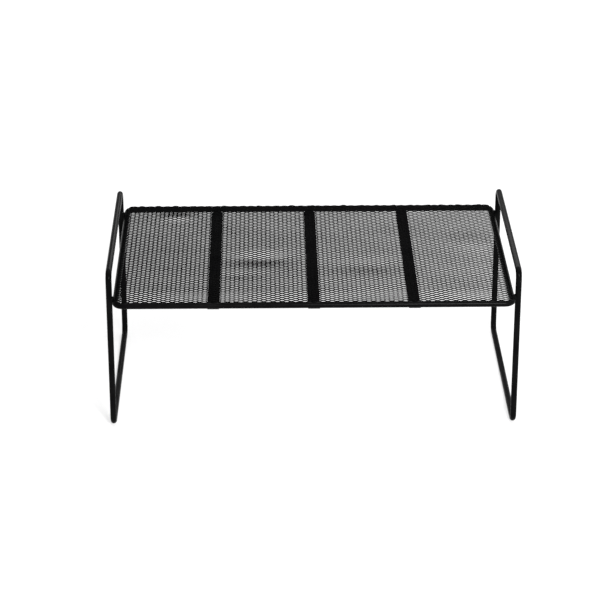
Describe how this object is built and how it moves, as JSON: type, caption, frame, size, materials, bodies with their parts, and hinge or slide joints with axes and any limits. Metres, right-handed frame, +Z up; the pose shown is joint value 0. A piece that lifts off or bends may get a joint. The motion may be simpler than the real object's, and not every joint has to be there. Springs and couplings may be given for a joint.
{
  "type": "cabinet shelf rack",
  "caption": "Free-standing cabinet shelf of welded black steel wire: two upright end loops carry a wire-rimmed shelf of expanded mesh above the floor.",
  "frame": {"origin": "on the floor, midway between the two skids and midway between their front and rear legs", "axes": "+X along the shelf to its right end, +Y to the back, +Z up"},
  "size_m": [0.4, 0.25, 0.166],
  "materials": {
    "coated_wire": "satin black powder coat",
    "coated_mesh": "satin black powder coat",
    "coated_strip": "satin black powder coat",
    "coated_weld": "satin black powder coat over weld metal"
  },
  "bodies": {
    "root": {"end_loop_left": "coated_wire", "end_loop_right": "coated_wire", "shelf_rim": "coated_wire", "mesh_sheet": "coated_mesh", "cross_strip_1": "coated_strip", "cross_strip_2": "coated_strip", "cross_strip_3": "coated_strip", "weld_collar_front_left": "coated_weld", "weld_collar_rear_left": "coated_weld", "weld_collar_front_right": "coated_weld", "weld_collar_rear_right": "coated_weld", "strip_weld_1_front": "coated_weld", "strip_weld_1_rear": "coated_weld", "strip_weld_2_front": "coated_weld", "strip_weld_2_rear": "coated_weld", "strip_weld_3_front": "coated_weld", "strip_weld_3_rear": "coated_weld"}
  },
  "joints": []
}
